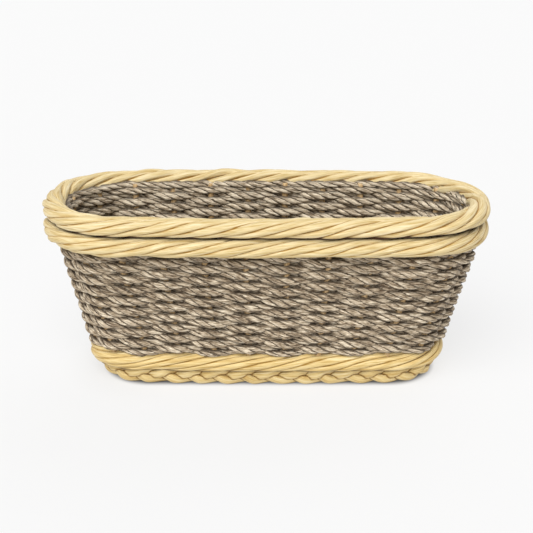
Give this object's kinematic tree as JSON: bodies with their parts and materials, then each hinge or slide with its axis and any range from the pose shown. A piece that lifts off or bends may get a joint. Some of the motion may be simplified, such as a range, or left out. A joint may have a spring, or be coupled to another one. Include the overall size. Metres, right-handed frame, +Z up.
{
  "type": "bread basket",
  "caption": "Oval woven bread basket with flared grey rope walls on bent rod stakes, two twisted husk rope rims and a plaited husk rope base band.",
  "frame": {"origin": "centre of the footprint, on the floor that the basket stands on", "axes": "+X along the basket's length, +Y towards the back long side, +Z up out of the opening"},
  "size_m": [0.35, 0.1416, 0.1481],
  "materials": {
    "stake_rod": "pale straw coloured rattan rod, dry, faint lengthwise grain",
    "grey_weaver": "grey brown twisted seagrass rope, fibrous and matt",
    "husk_rope": "golden straw twisted husk strands, smooth and papery with fine lengthwise wrinkles"
  },
  "bodies": {
    "root": {"cross_rod_right_1": "stake_rod", "cross_rod_right_2": "stake_rod", "cross_rod_right_3": "stake_rod", "cross_rod_right_4": "stake_rod", "cross_rod_left_1": "stake_rod", "cross_rod_left_2": "stake_rod", "cross_rod_left_3": "stake_rod", "cross_rod_left_4": "stake_rod", "long_rod_back_1": "stake_rod", "long_rod_back_2": "stake_rod", "long_rod_front_1": "stake_rod", "long_rod_front_2": "stake_rod", "weaver_round_01": "grey_weaver", "weaver_round_02": "grey_weaver", "weaver_round_03": "grey_weaver", "weaver_round_04": "grey_weaver", "weaver_round_05": "grey_weaver", "weaver_round_06": "grey_weaver", "weaver_round_07": "grey_weaver", "weaver_round_08": "grey_weaver", "weaver_round_09": "grey_weaver", "weaver_round_10": "grey_weaver", "weaver_round_11": "grey_weaver", "weaver_round_12": "grey_weaver", "weaver_round_13": "grey_weaver", "weaver_round_14": "grey_weaver", "weaver_round_15": "grey_weaver", "weaver_round_16": "grey_weaver", "weaver_round_17": "grey_weaver", "weaver_round_18": "grey_weaver", "weaver_round_19": "grey_weaver", "weaver_round_20": "grey_weaver", "weaver_round_21": "grey_weaver", "weaver_round_22": "grey_weaver", "rim_lining_round_lower": "grey_weaver", "rim_lining_round_upper": "grey_weaver", "base_weaver_01": "grey_weaver", "base_weaver_02": "grey_weaver", "base_weaver_03": "grey_weaver", "base_weaver_04": "grey_weaver", "base_weaver_05": "grey_weaver", "base_weaver_06": "grey_weaver", "base_weaver_07": "grey_weaver", "base_weaver_08": "grey_weaver", "base_weaver_09": "grey_weaver", "base_weaver_10": "grey_weaver", "rim_rope_upper": "husk_rope", "rim_rope_lower": "husk_rope", "upset_rope": "husk_rope", "foot_plait": "husk_rope"}
  },
  "joints": []
}
